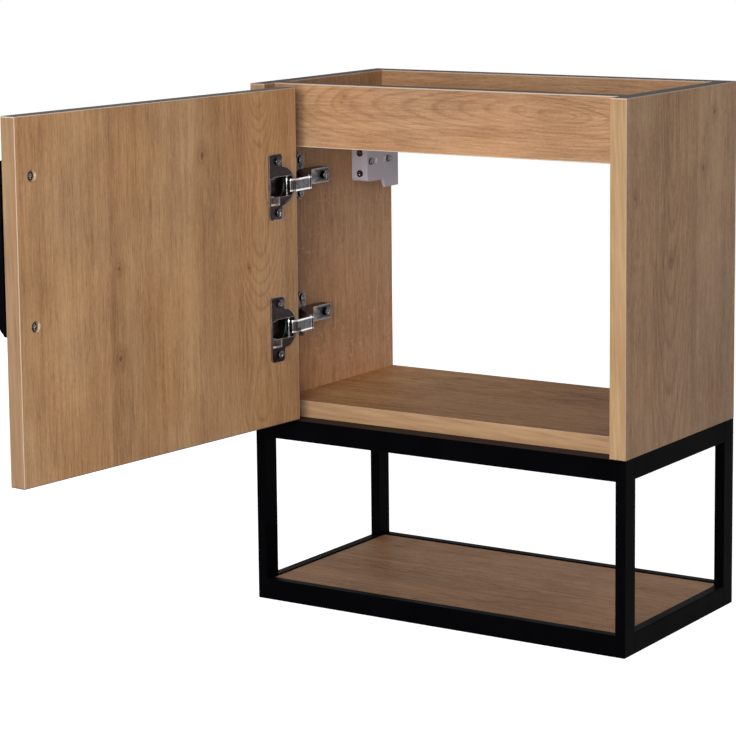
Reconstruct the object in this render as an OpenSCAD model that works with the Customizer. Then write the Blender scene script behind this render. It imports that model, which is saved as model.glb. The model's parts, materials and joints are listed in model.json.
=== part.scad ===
// Wall-hung vanity unit: a one-door oak carcass without a top, on a black tube frame with a
// low shelf. Millimetres, +Z up, +X to the right as seen from the front, the wall at Y = 0.
// The origin is the middle of the back rail's rear face. The door is drawn open, at its stop.

/* [Carcass] */
// Width over the two side panels
cab_w = 400; // [340:10:600]
// Depth from the wall to the front edges of the side panels
cab_d = 220; // [190:5:320]
// Height of the side panels
cab_h = 320; // [280:5:420]
// Thickness of every board
board_t = 16; // [15:0.5:19]
// Height of the front and back rails
rail_h = 60; // [50:1:66]
// Thickness of the glued edge bands
edge_t = 0.8; // [0.4:0.1:2]

/* [Fittings] */
// Radius of the wooden dowels
dowel_r = 4; // [3:0.5:5]
// Length of the wooden dowels
dowel_l = 30; // [24:1:34]
// Radius of the cam locks
cam_r = 7.5; // [6:0.5:7.5]
// Thickness of the cam locks
cam_t = 12; // [9:0.5:12.5]
// Distance from a joint to the middle of its cam lock
cam_reach = 34; // [30:1:38]
// Radius of the cam bolts
bolt_r = 3; // [2.5:0.25:3.5]

/* [Door] */
// Gap around the closed door
door_gap = 2; // [1.5:0.1:3]
// Air between the closed door and the rail and floor behind it
door_air = 2; // [1.5:0.1:3]
// Opening angle at the stop
door_open = 95; // [90:1:95]

/* [Handle] */
// Distance between the two handle screws
handle_pitch = 128; // [96:1:160]
// Full length of the handle
handle_l = 151; // [146:1:190]
// Width of the handle's bar
handle_w = 10; // [8:1:14]
// Thickness of the handle's bar
handle_t = 8; // [6:0.5:10]
// How far the handle stands out from the door
handle_out = 25; // [22:1:35]
// Length of each foot of the handle
handle_foot = 20; // [18:1:22]
// Distance from the door's free edge to the handle screws
handle_in = 19; // [15:1:40]
// Distance from the door's top edge to the middle of the handle
handle_down = 115; // [100:1:150]
// Radius of the counterbores for the handle screws
handle_bore_r = 5.2; // [4.6:0.1:6]
// Depth of the counterbores for the handle screws
handle_sink = 4; // [2:0.5:6]

/* [Hinges] */
// Distance from the door's ends to the middle of each hinge
hinge_in = 91; // [85:1:110]
// Radius of the hinge cups
cup_r = 17.5; // [17.5:0.1:18]
// Depth of the hinge cups
cup_depth = 12.2; // [12:0.1:12.8]
// Thickness of the cup's sheet steel
cup_wall = 0.6; // [0.5:0.1:0.7]
// Distance from the door's edge to the middle of the cup
cup_in = 22.5; // [22:0.1:23]
// Length of the flange plate
flange_l = 62; // [58:1:70]
// Width of the flange plate
flange_w = 19; // [18:0.5:20]
// Thickness of the flange plate
flange_t = 1.2; // [0.8:0.1:1.3]
// Distance between the two screws of a flange
flange_pitch = 48; // [46:1:52]
// Width of the link strap
link_w = 12; // [10:0.5:12]
// Thickness of the link strap
link_t = 2; // [1.6:0.1:2]
// Thickness of the hinge arm's sheet steel
arm_wall = 1; // [0.8:0.1:1]
// Height of the hinge arm above the side panel
arm_h = 14; // [12:0.5:16]
// Radius of the hinge pins
pin_r = 1.1; // [1:0.05:1.2]

/* [Mounting plates] */
// Distance from the panel's front edge to the plate screws
plate_in = 55; // [52:1:60]
// Distance between the two screws of a plate
plate_pitch = 32; // [32:1:38]
// Thickness of a plate
plate_t = 2; // [1.5:0.1:2.5]

/* [Wall hangers] */
// Width of a hanger's housing
hanger_w = 18.5; // [16:0.5:22]
// Depth of a hanger's housing
hanger_d = 56; // [50:1:60]
// Height of a hanger's housing
hanger_h = 62; // [60:1:70]
// Distance from the top of the panels to the bottom of the housing
hanger_drop = 107; // [107:1:120]
// Thickness of the steel hook
hook_t = 3; // [2:0.25:3.5]
// Width of the steel hook
hook_w = 10; // [8:0.5:11]
// How far the hook can be let down
hook_down = 8; // [4:1:8]
// How far the hook can be raised
hook_up = 2; // [1:0.5:2]

/* [Frame] */
// Height of the frame
frame_h = 180; // [120:5:400]
// Width of the posts and of the side tubes
post_w = 10; // [10:1:14]
// Depth of the posts
post_d = 20; // [15:1:30]
// Height of the horizontal tubes
tube_h = 20; // [20:1:30]
// Depth of the lower cross tubes
cross_d = 10; // [8:1:20]
// Depth of the upper cross tubes
top_cross_d = 20; // [10:1:30]
// Wall of the tubes
tube_wall = 1.2; // [1:0.1:2]
// How far the shelf lies below the top of its tubes
shelf_drop = 1; // [0.5:0.1:1.5]
// Gap around the shelf
shelf_gap = 0.5; // [0.3:0.1:2]
// Thickness of the welded shelf tabs
tab_t = 1.6; // [1.2:0.1:1.6]

/* [Hidden] */
$fn = 48;
half_w = cab_w / 2;
inner_w = cab_w - 2 * board_t;
panel_x = -half_w + board_t;
front_y = -cab_d;
rail_y = front_y + board_t + door_air;
z_top = rail_h / 2;
z_base = z_top - cab_h;
z_foot = z_base - frame_h;
slip = 0.05;
pocket = 0.5;

// How far a cut runs past a face: a little for blind holes, more for through holes
over = 0.1;
past = 1;

// Screws: radius of the shank, radius and height of the head
wood_screw = [1.75, 3.6, 1.8];
plate_screw = [2, 3.4, 1.6];
machine_screw = [2, 4, 2.2];
handle_screw = [2, 4, 1.6];
adjust_screw = [2, 3.4, 1.8];
frame_screw = [2, 3.6, 2.2];
tab_screw = [1.75, 3.4, 0.9];
driver_w = 0.9;
panel_screw_l = 10;
door_screw_l = 12;
adjust_l = 18;
slot_l = 8;
slot_depth = 1.5;

// The closed door, the hinge's two pivots and the link that turns between them
door_w = inner_w - 2 * door_gap;
door_h = cab_h - 2 * door_gap;
handle_z = door_h - handle_down;
door_corner = [panel_x + door_gap, front_y + board_t];
arm_pin_in = 36.2;
arm_pin_back = 1.6;
cup_pin = [8.8, -4.6];
link_turn = 63.4;
arm_pin = door_corner + [arm_pin_in, arm_pin_back];
closed_pin = door_corner + cup_pin;
open_pin = arm_pin + turned(closed_pin - arm_pin, link_turn);
open_corner = open_pin - turned(cup_pin, -door_open);
cup_eye_r = 1.9;
arm_eye_r = 2.2;
ear_r = 2.2;
ear_gap = 0.2;
hinge_z = [hinge_in, door_h - hinge_in];
flange_from = 21.7;
flange_screw_in = 6.8;
flange_screw_u = flange_from + flange_screw_in;
cup_rim = 1.2;
bulge_r = cup_r + cup_rim;
cup_mouth = 9.4;
mouth_to = 34.6;
arm_half = link_w / 2 + ear_gap + arm_wall;
tip_room = 0.8;
link_bends = [[10.2, 1.1], [5.7, 2.8], [0.4, 2.4]];
arm_low_x = panel_x + plate_t + pocket;
arm_top_x = panel_x + arm_h;
heel_in = 4;
heel_back = 12;
chin_in = 2;
chin_back = 6;
tip_channel = [[-7.5, 9.5], [-4, 4], [6, 2], [6, -8], [-6, -8]];
arm_tail = 32;
arm_lead = 2;
arm_screw_in = 8;
slot_run = 6;
plate_y = front_y + plate_in;
arm_back_y = plate_y + arm_tail;
arm_flat_y = plate_y + arm_lead;
arm_screw_y = arm_back_y - arm_screw_in;
plate_wing = 12;

// Wall hangers
hanger_low = z_top - hanger_drop;
hanger_back = -board_t;
hanger_front = hanger_back - hanger_d;
hanger_wall = 3;
hanger_lip = 8;
foot_t = 3;
hanger_round = 3;
foot_d = 24;
fix_up = 20;
fix_in = [6, 38];
fix_z = hanger_low + fix_up;
fix_y = [for (d = fix_in) hanger_front + d];
adjust_up = [7.8, 28.2];
adjust_z = [for (d = adjust_up) hanger_low + d];
hook_z = z_top - rail_h - hook_up - hook_t - past;
hook_drop = 11;
hook_leg = 24;
hook_leg_y = -30;
hook_end_y = -1.5;
hook_room = 8;
hook_floor = hook_z + hook_t - hook_leg - hook_down - past;

// Frame and shelf
shelf_z = z_foot + tube_h - shelf_drop - board_t;
shelf_w = cab_w - 2 * post_w - 2 * shelf_gap;
shelf_d = cab_d - 2 * cross_d - 2 * shelf_gap;
shelf_y = front_y + cross_d + shelf_gap;
tab_w = 24;
tab_reach = 16;
tab_from_end = 45;
tab_y = [front_y + tab_from_end, -tab_from_end];
frame_screw_in = 50;
frame_screw_y = [front_y + frame_screw_in, -frame_screw_in];
frame_grip = 22;

// Places of the joints between the boards
dowel_in = 25;
cam_in = 60;
rail_dowel_down = 14;
rail_cam_up = 18;
floor_dowel_y = [rail_y + dowel_in, -dowel_in];
floor_cam_y = [rail_y + cam_in, -cam_in];
rail_dowel_z = z_top - rail_dowel_down;
rail_cam_z = z_top - rail_h + rail_cam_up;
floor_mid_z = z_base + board_t / 2;
rail_mid_y = rail_y + board_t / 2;
back_mid_y = -board_t / 2;

oak = "burlywood";
band = "tan";
black_steel = [0.08, 0.08, 0.09];
dark_nickel = [0.3, 0.28, 0.28];
bright = "silver";
grey_plastic = [0.6, 0.57, 0.62];

function turned(p, a) = [p.x * cos(a) - p.y * sin(a), p.x * sin(a) + p.y * cos(a)];
function from_link(u, v) = open_corner + turned([u, v], -door_open);

// Points on an arc about c, from angle a to angle b
function arc(c, r, a, b) = [for (i = [0:8]) c + turned([r, 0], a + (b - a) * i / 8)];

// A screw whose head stands on the XY plane and whose shank points down
module screw(size, shank_l) {
    difference() {
        union() {
            cylinder(r = size[1], h = size[2]);
            translate([0, 0, -shank_l]) cylinder(r = size[0], h = shank_l + size[2] / 2);
        }
        for (a = [0, 90])
            rotate([0, 0, a])
                translate([-size[1] * 0.6, -driver_w / 2, size[2] * 0.4])
                    cube([size[1] * 1.2, driver_w, size[2]]);
    }
}

// Turns a shape that points up so that it points along +X or +Y
module to_x() { rotate([0, 90, 0]) children(); }
module to_y() { rotate([-90, 0, 0]) children(); }

// Both sides of the unit, or the left one and its mirror image
module both_sides() {
    children();
    mirror([1, 0, 0]) children();
}

// The door's own frame: X along the door from the hinge edge, Y out of its inner face,
// Z up from its bottom edge
module on_door() {
    translate([open_corner.x, open_corner.y, z_base + door_gap])
        rotate([0, 0, -door_open]) children();
}

// Carcass

module dowel_at(y, z, clearance) {
    translate([panel_x - dowel_l / 3 - clearance, y, z])
        to_x() cylinder(r = dowel_r - slip + clearance, h = dowel_l + 2 * clearance);
}

module left_dowels(clearance) {
    for (y = floor_dowel_y) dowel_at(y, floor_mid_z, clearance);
    dowel_at(rail_mid_y, rail_dowel_z, clearance);
    dowel_at(back_mid_y, rail_dowel_z, clearance);
}

module bolt_at(y, z, clearance) {
    translate([panel_x - board_t * 0.6 - clearance, y, z])
        to_x()
            cylinder(
                r = bolt_r - slip + clearance,
                h = board_t * 0.6 + cam_reach - cam_r + 2 * clearance
            );
}

module left_bolts(clearance) {
    for (y = floor_cam_y) bolt_at(y, floor_mid_z, clearance);
    bolt_at(rail_mid_y, rail_cam_z, clearance);
    bolt_at(back_mid_y, rail_cam_z, clearance);
}

// Cam locks sit in the floor's underside and in the hidden faces of the two rails
module left_cams(clearance) {
    r = cam_r - slip + clearance;
    for (y = floor_cam_y)
        translate([panel_x + cam_reach, y, z_base]) cylinder(r = r, h = cam_t + clearance);
    translate([panel_x + cam_reach, rail_y + board_t - cam_t - clearance, rail_cam_z])
        to_y() cylinder(r = r, h = cam_t + clearance);
    translate([panel_x + cam_reach, -board_t, rail_cam_z])
        to_y() cylinder(r = r, h = cam_t + clearance);
}

module joint_holes() {
    both_sides() {
        left_dowels(slip);
        left_bolts(slip);
        left_cams(slip);
    }
}

module dowels() {
    color(oak) both_sides() left_dowels(0);
}

module cam_bolts() {
    color(bright) both_sides() left_bolts(0);
}

module cam_locks() {
    slot_x = panel_x + cam_reach - slot_l / 2;
    color(bright)
        difference() {
            both_sides() left_cams(0);
            both_sides() {
                for (y = floor_cam_y)
                    translate([slot_x, y - driver_w / 2, z_base - past])
                        cube([slot_l, driver_w, slot_depth + past]);
                translate([slot_x, rail_y + board_t - slot_depth, rail_cam_z])
                    cube([slot_l, slot_depth + past, driver_w]);
                translate([slot_x, -board_t - past, rail_cam_z])
                    cube([slot_l, slot_depth + past, driver_w]);
            }
        }
}

module side_board() {
    translate([-half_w, front_y + edge_t, z_base])
        cube([board_t, cab_d - edge_t, cab_h]);
}

module hinge_side_holes() {
    for (hz = hinge_z)
        for (s = [-1, 1])
            translate([panel_x + over, plate_y, world_z(hz) + s * plate_pitch / 2])
                rotate([0, -90, 0])
                    cylinder(r = plate_screw[0] + slip, h = panel_screw_l + pocket + over);
}

module hanger_side_holes() {
    for (y = fix_y)
        translate([panel_x + over, y, fix_z])
            rotate([0, -90, 0])
                cylinder(r = wood_screw[0] + slip, h = panel_screw_l + pocket + over);
}

module frame_side_holes() {
    for (y = frame_screw_y)
        translate([-half_w + post_w / 2, y, z_base - over])
            cylinder(r = frame_screw[0] + slip, h = frame_grip + pocket);
}

module side_panel_left() {
    color(oak)
        difference() {
            side_board();
            joint_holes();
            hinge_side_holes();
            hanger_side_holes();
            frame_side_holes();
        }
}

module side_panel_right() {
    color(oak)
        difference() {
            mirror([1, 0, 0]) side_board();
            joint_holes();
            mirror([1, 0, 0]) hanger_side_holes();
            mirror([1, 0, 0]) frame_side_holes();
        }
}

module side_edging_left() {
    color(band) translate([-half_w, front_y, z_base]) cube([board_t, edge_t, cab_h]);
}

module side_edging_right() {
    color(band)
        mirror([1, 0, 0]) translate([-half_w, front_y, z_base]) cube([board_t, edge_t, cab_h]);
}

module bottom_panel() {
    color(oak)
        difference() {
            translate([panel_x, rail_y + edge_t, z_base])
                cube([inner_w, -rail_y - edge_t, board_t]);
            joint_holes();
        }
}

module bottom_edging() {
    color(band) translate([panel_x, rail_y, z_base]) cube([inner_w, edge_t, board_t]);
}

module front_rail() {
    color(oak)
        difference() {
            translate([panel_x, rail_y, z_top - rail_h + edge_t])
                cube([inner_w, board_t, rail_h - edge_t]);
            joint_holes();
        }
}

module front_rail_edging() {
    color(band) translate([panel_x, rail_y, z_top - rail_h]) cube([inner_w, board_t, edge_t]);
}

module back_rail() {
    color(oak)
        difference() {
            translate([panel_x, -board_t, z_top - rail_h]) cube([inner_w, board_t, rail_h]);
            joint_holes();
        }
}

// Door and handle

function world_z(hz) = z_base + door_gap + hz;

module door_panel() {
    color(oak)
        on_door()
            difference() {
                translate([edge_t, -board_t, edge_t])
                    cube([door_w - 2 * edge_t, board_t, door_h - 2 * edge_t]);
                for (hz = hinge_z) {
                    translate([cup_in, over, hz])
                        rotate([90, 0, 0]) cylinder(r = cup_r + slip, h = cup_depth + slip + over);
                    for (s = [-1, 1])
                        translate([flange_screw_u, over, hz + s * flange_pitch / 2])
                            rotate([90, 0, 0])
                                cylinder(r = wood_screw[0] + slip, h = door_screw_l + pocket + over);
                }
                for (s = [-1, 1])
                    translate([door_w - handle_in, over, handle_z + s * handle_pitch / 2])
                        rotate([90, 0, 0]) {
                            cylinder(r = handle_screw[0] + slip, h = board_t + 2 * over);
                            cylinder(r = handle_bore_r, h = handle_sink + over);
                        }
            }
}

module door_edging() {
    color(band)
        on_door() {
            for (u = [0, door_w - edge_t])
                translate([u, -board_t, 0]) cube([edge_t, board_t, door_h]);
            for (z = [0, door_h - edge_t])
                translate([edge_t, -board_t, z]) cube([door_w - 2 * edge_t, board_t, edge_t]);
        }
}

// Side view of the handle, X out of the door's inner face and Y along the handle
module handle_profile() {
    chamfer = handle_t;
    half = handle_l / 2;
    difference() {
        polygon([
            [0, -half], [chamfer - handle_out, -half], [-handle_out, chamfer - half],
            [-handle_out, half - chamfer], [chamfer - handle_out, half], [0, half]
        ]);
        translate([handle_t - handle_out, handle_foot - half])
            square([handle_out, handle_l - 2 * handle_foot]);
    }
}

module handle() {
    color(black_steel)
        on_door()
            translate([door_w - handle_in, -board_t, handle_z])
                difference() {
                    translate([-handle_w / 2, 0, 0])
                        rotate([90, 0, 90]) linear_extrude(handle_w) handle_profile();
                    for (s = [-1, 1])
                        translate([0, over, s * handle_pitch / 2])
                            rotate([90, 0, 0])
                                cylinder(
                                    r = handle_screw[0] + slip,
                                    h = door_screw_l + pocket + over
                                );
                }
}

module handle_screws() {
    color(bright)
        on_door()
            for (s = [-1, 1])
                translate([door_w - handle_in, -handle_sink, handle_z + s * handle_pitch / 2])
                    to_y() screw(handle_screw, board_t - handle_sink + door_screw_l);
}

// Hinges

// One cup with its flange, Z = 0 at the middle of the hinge
module hinge_cup(hz) {
    color(dark_nickel)
        on_door()
            translate([0, 0, hz])
                difference() {
                    union() {
                        translate([cup_in, 0, 0])
                            rotate([90, 0, 0]) cylinder(r = cup_r, h = cup_depth);
                        translate([cup_in, 0, 0]) to_y() cylinder(r = bulge_r, h = flange_t);
                        flange_plate();
                    }
                    translate([cup_in, 0, 0])
                        rotate([90, 0, 0])
                            cylinder(r = cup_r - cup_wall, h = cup_depth - cup_wall);
                    cup_opening();
                    for (s = [-1, 1])
                        translate([flange_screw_u, flange_t + past, s * flange_pitch / 2])
                            rotate([90, 0, 0])
                                cylinder(r = wood_screw[0] + slip, h = flange_t + 2 * past);
                    translate([cup_pin.x, cup_pin.y, -cup_r])
                        cylinder(r = pin_r + slip, h = 2 * cup_r);
                }
}

module flange_plate() {
    corner_r = 4;
    to_y()
        linear_extrude(flange_t)
            union() {
                translate([flange_from, -flange_l / 2 + corner_r])
                    square([flange_w, flange_l - 2 * corner_r]);
                translate([flange_from + corner_r, -flange_l / 2])
                    square([flange_w - 2 * corner_r, flange_l]);
                for (u = [corner_r, flange_w - corner_r])
                    for (s = [-1, 1])
                        translate([flange_from + u, s * (flange_l / 2 - corner_r)])
                            circle(r = corner_r);
            }
}

// The mouth that the link and the arm's tip go through
module cup_opening() {
    intersection() {
        translate([cup_in, -over, 0])
            to_y() cylinder(r = cup_r - cup_wall, h = flange_t + past);
        translate([0, -over, -cup_mouth]) cube([mouth_to, flange_t + past, 2 * cup_mouth]);
    }
    translate([cup_in, 0, -arm_half - tip_room])
        cube([
            arm_pin_in + ear_r + tip_room - cup_in, flange_t + past, 2 * (arm_half + tip_room)
        ]);
}

module hinge_cup_upper() { hinge_cup(hinge_z[1]); }
module hinge_cup_lower() { hinge_cup(hinge_z[0]); }

module cup_screws() {
    color(bright)
        on_door()
            for (hz = hinge_z)
                for (s = [-1, 1])
                    translate([flange_screw_u, flange_t, hz + s * flange_pitch / 2])
                        to_y() screw(wood_screw, flange_t + door_screw_l);
}

module cup_pins() {
    half = sqrt(pow(cup_r, 2) - pow(cup_in - cup_pin.x + pin_r, 2)) - over;
    color(bright)
        on_door()
            for (hz = hinge_z)
                translate([cup_pin.x, cup_pin.y, hz - half]) cylinder(r = pin_r, h = 2 * half);
}

// A straight piece of strap from p to q with round ends, seen from above
module strap(p, q, r) {
    run = q - p;
    translate(p)
        rotate([0, 0, atan2(run.y, run.x)])
            translate([0, -r]) square([norm(run), 2 * r]);
    translate(p) circle(r = r);
    translate(q) circle(r = r);
}

// The bent link goes from the pin in the cup over the door's rim to the pin in the arm
module hinge_link(hz) {
    bends = concat([open_pin], [for (p = link_bends) from_link(p.x, p.y)], [arm_pin]);
    color(bright)
        translate([0, 0, world_z(hz) - link_w / 2])
            difference() {
                linear_extrude(link_w)
                    union() {
                        for (i = [0:len(bends) - 2]) strap(bends[i], bends[i + 1], link_t / 2);
                        translate(open_pin) circle(r = cup_eye_r);
                        translate(arm_pin) circle(r = arm_eye_r);
                    }
                for (p = [open_pin, arm_pin])
                    translate([p.x, p.y, -past])
                        cylinder(r = pin_r + slip, h = link_w + 2 * past);
            }
}

module hinge_link_upper() { hinge_link(hinge_z[1]); }
module hinge_link_lower() { hinge_link(hinge_z[0]); }

// Side view of the arm from above: a low flat part over the plate and a raised tip
module arm_profile() {
    heel = [arm_low_x + heel_in, arm_flat_y - heel_back];
    back_run = arm_pin - [arm_top_x, arm_flat_y];
    front_run = heel - arm_pin;
    polygon(concat(
        [[arm_low_x, arm_back_y], [arm_top_x, arm_back_y], [arm_top_x, arm_flat_y]],
        arc(arm_pin, ear_r, atan2(back_run.y, back_run.x) + 90,
            atan2(front_run.y, front_run.x) - 270),
        [heel, [arm_low_x, arm_flat_y - chin_back]]
    ));
}

// The channel between the arm's two cheeks, open towards the side panel
module arm_channel() {
    roof_x = arm_top_x - arm_wall;
    polygon(concat(
        [
            [arm_low_x - past, arm_back_y + past], [roof_x, arm_back_y + past],
            [roof_x, arm_flat_y + pocket]
        ],
        [for (p = tip_channel) arm_pin + p],
        [
            [arm_low_x + chin_in, arm_flat_y - 3 * chin_back],
            [arm_low_x - past, arm_flat_y - chin_back]
        ]
    ));
}

// The slot that lets the arm slide under its screw
module arm_slot() {
    r = machine_screw[0] + pocket;
    h = arm_wall + 2 * past;
    for (y = [0, -slot_run]) translate([0, y, 0]) to_x() cylinder(r = r, h = h);
    translate([0, -slot_run, -r]) cube([h, slot_run, 2 * r]);
}

module hinge_arm(hz) {
    inner = arm_half - arm_wall;
    color(dark_nickel)
        translate([0, 0, world_z(hz)])
            difference() {
                translate([0, 0, -arm_half]) linear_extrude(2 * arm_half) arm_profile();
                translate([0, 0, -inner]) linear_extrude(2 * inner) arm_channel();
                translate([arm_top_x - arm_wall - past, arm_screw_y, 0]) arm_slot();
                translate([arm_pin.x, arm_pin.y, -arm_half - past])
                    cylinder(r = pin_r + slip, h = 2 * (arm_half + past));
            }
}

module hinge_arm_upper() { hinge_arm(hinge_z[1]); }
module hinge_arm_lower() { hinge_arm(hinge_z[0]); }

module arm_pins() {
    color(bright)
        for (hz = hinge_z)
            translate([arm_pin.x, arm_pin.y, world_z(hz) - arm_half])
                cylinder(r = pin_r, h = 2 * arm_half);
}

module arm_screws() {
    color(bright)
        for (hz = hinge_z)
            translate([arm_top_x, arm_screw_y, world_z(hz)])
                to_x() screw(machine_screw, arm_h - plate_t - past - pocket);
}

// A plate with two round wings and a block that carries the arm
module mounting_plate(hz) {
    block = arm_half - arm_wall - pocket;
    wing_r = plate_wing / 2;
    block_l = arm_back_y - past - (plate_y - wing_r);
    color(dark_nickel)
        translate([panel_x, front_y, world_z(hz)])
            difference() {
                union() {
                    translate([0, plate_in - wing_r, -plate_pitch / 2])
                        cube([plate_t, plate_wing, plate_pitch]);
                    for (s = [-1, 1])
                        translate([0, plate_in, s * plate_pitch / 2])
                            to_x() cylinder(r = wing_r, h = plate_t);
                    translate([0, plate_in - wing_r, -block])
                        cube([arm_h - arm_wall, block_l, 2 * block]);
                }
                for (s = [-1, 1])
                    translate([-past, plate_in, s * plate_pitch / 2])
                        to_x() cylinder(r = plate_screw[0] + slip, h = plate_t + 2 * past);
                translate([plate_t + past, arm_screw_y - front_y, 0])
                    to_x() cylinder(r = machine_screw[0] + slip, h = arm_h);
            }
}

module mounting_plate_upper() { mounting_plate(hinge_z[1]); }
module mounting_plate_lower() { mounting_plate(hinge_z[0]); }

module plate_screws() {
    color(bright)
        for (hz = hinge_z)
            for (s = [-1, 1])
                translate([panel_x + plate_t, plate_y, world_z(hz)])
                    translate([0, 0, s * plate_pitch / 2])
                        to_x() screw(plate_screw, plate_t + panel_screw_l);
}

// Wall hangers

// Side view of a housing, X towards the wall and Y up
module hanger_side() {
    front = hanger_front + hanger_round;
    top = hanger_low + hanger_h;
    polygon(concat(
        arc([front, hanger_low + hanger_round], hanger_round, 180, 270),
        [[hanger_back, hanger_low], [hanger_back, top]],
        arc([front, top - hanger_round], hanger_round, 90, 180)
    ));
}

// The thin foot under the housing's rear, on the room's side
module hanger_foot() {
    foot_z = hanger_low - hanger_lip;
    polygon([
        [hanger_back - foot_d - hanger_lip / 2, hanger_low + past],
        [hanger_back - foot_d, foot_z], [hanger_back, foot_z], [hanger_back, hanger_low + past]
    ]);
}

module left_hanger_body() {
    room = hook_w + 3 * pocket;
    middle_x = panel_x + hanger_w / 2;
    difference() {
        union() {
            translate([panel_x, 0, 0])
                rotate([90, 0, 90]) linear_extrude(hanger_w) hanger_side();
            translate([panel_x + hanger_w - foot_t, 0, 0])
                rotate([90, 0, 90]) linear_extrude(foot_t) hanger_foot();
        }
        translate([middle_x - room / 2, hook_leg_y - hook_room, hook_floor])
            cube([room, hanger_d, hanger_low + hanger_h - hanger_wall - hook_floor]);
        for (y = fix_y)
            translate([panel_x - past, y, fix_z])
                to_x() cylinder(r = wood_screw[0] + slip, h = hanger_w + 2 * past);
        for (z = adjust_z)
            translate([middle_x, hanger_front - past, z])
                to_y() {
                    cylinder(r = adjust_screw[0] + slip, h = adjust_l + 6 * past);
                    cylinder(r = adjust_screw[1] + pocket, h = adjust_screw[2] + past);
                }
    }
}

module hanger_body_left() { color(grey_plastic) left_hanger_body(); }
module hanger_body_right() { color(grey_plastic) mirror([1, 0, 0]) left_hanger_body(); }

// The hook: a leg inside the housing, an arm that leaves it under the back rail, and a lip
module left_hook() {
    translate([panel_x + (hanger_w - hook_w) / 2, 0, 0])
        rotate([90, 0, 90])
            linear_extrude(hook_w)
                union() {
                    translate([hook_leg_y, hook_z + hook_t - hook_leg]) square([hook_t, hook_leg]);
                    translate([hook_leg_y, hook_z])
                        square([hook_end_y - hook_leg_y, hook_t]);
                    translate([hook_end_y - hook_t, hook_z + hook_t - hook_drop])
                        square([hook_t, hook_drop]);
                }
}

module hanger_hook_left() { color(bright) left_hook(); }
module hanger_hook_right() { color(bright) mirror([1, 0, 0]) left_hook(); }

module hanger_fixing_screws() {
    color(bright)
        both_sides()
            for (y = fix_y)
                translate([panel_x + hanger_w, y, fix_z])
                    to_x() screw(wood_screw, hanger_w + panel_screw_l);
}

module hanger_adjusters() {
    color(bright)
        both_sides()
            for (z = adjust_z)
                translate([panel_x + hanger_w / 2, hanger_front + adjust_screw[2], z])
                    rotate([90, 0, 0]) screw(adjust_screw, adjust_l);
}

// Frame

module post(x, y) {
    color(black_steel)
        translate([x, y, z_foot])
            difference() {
                cube([post_w, post_d, frame_h]);
                translate([tube_wall, tube_wall, tube_wall])
                    cube([post_w - 2 * tube_wall, post_d - 2 * tube_wall, frame_h]);
            }
}

module post_front_left() { post(-half_w, front_y); }
module post_front_right() { post(half_w - post_w, front_y); }
module post_rear_left() { post(-half_w, -post_d); }
module post_rear_right() { post(half_w - post_w, -post_d); }

// A tube across the unit, between two posts
module cross_tube(y, z, depth) {
    run = cab_w - 2 * post_w;
    color(black_steel)
        translate([-run / 2, y, z])
            difference() {
                cube([run, depth, tube_h]);
                translate([-past, tube_wall, tube_wall])
                    cube([run + 2 * past, depth - 2 * tube_wall, tube_h - 2 * tube_wall]);
            }
}

module lower_tube_front() { cross_tube(front_y, z_foot, cross_d); }
module lower_tube_rear() { cross_tube(-cross_d, z_foot, cross_d); }
module upper_tube_front() { cross_tube(front_y, z_base - tube_h, top_cross_d); }
module upper_tube_rear() { cross_tube(-top_cross_d, z_base - tube_h, top_cross_d); }

// A tube from front to back, between two posts
module side_tube(x, z) {
    run = cab_d - 2 * post_d;
    color(black_steel)
        translate([x, front_y + post_d, z])
            difference() {
                cube([post_w, run, tube_h]);
                translate([tube_wall, -past, tube_wall])
                    cube([post_w - 2 * tube_wall, run + 2 * past, tube_h - 2 * tube_wall]);
                if (z > z_foot)
                    for (y = frame_screw_y)
                        translate([post_w / 2, y - front_y - post_d, -past]) {
                            cylinder(r = frame_screw[0] + slip, h = tube_h + 2 * past);
                            cylinder(r = frame_screw[1] + over, h = tube_h / 2);
                        }
            }
}

module lower_tube_left() { side_tube(-half_w, z_foot); }
module lower_tube_right() { side_tube(half_w - post_w, z_foot); }
module upper_tube_left() { side_tube(-half_w, z_base - tube_h); }
module upper_tube_right() { side_tube(half_w - post_w, z_base - tube_h); }

module frame_screws() {
    color(bright)
        both_sides()
            for (y = frame_screw_y)
                translate([-half_w + post_w / 2, y, z_base - tube_wall])
                    mirror([0, 0, 1]) screw(frame_screw, tube_wall + frame_grip);
}

// Shelf

module shelf_board() {
    color(oak)
        difference() {
            translate([-shelf_w / 2, shelf_y + edge_t, shelf_z])
                cube([shelf_w, shelf_d - edge_t, board_t]);
            tab_screw_holes();
        }
}

module shelf_edging() {
    color(band) translate([-shelf_w / 2, shelf_y, shelf_z]) cube([shelf_w, edge_t, board_t]);
}

module tab_screw_holes() {
    both_sides()
        for (y = tab_y)
            translate([-half_w + post_w + tab_reach / 2, y, z_foot])
                cylinder(r = tab_screw[0] + slip, h = shelf_z - z_foot + door_screw_l + pocket);
}

module shelf_tabs() {
    color(black_steel)
        difference() {
            both_sides()
                for (y = tab_y)
                    translate([-half_w + post_w, y - tab_w / 2, shelf_z - tab_t])
                        cube([tab_reach, tab_w, tab_t]);
            tab_screw_holes();
        }
}

module shelf_screws() {
    color(bright)
        both_sides()
            for (y = tab_y)
                translate([-half_w + post_w + tab_reach / 2, y, shelf_z - tab_t])
                    mirror([0, 0, 1]) screw(tab_screw, tab_t + door_screw_l);
}

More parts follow.
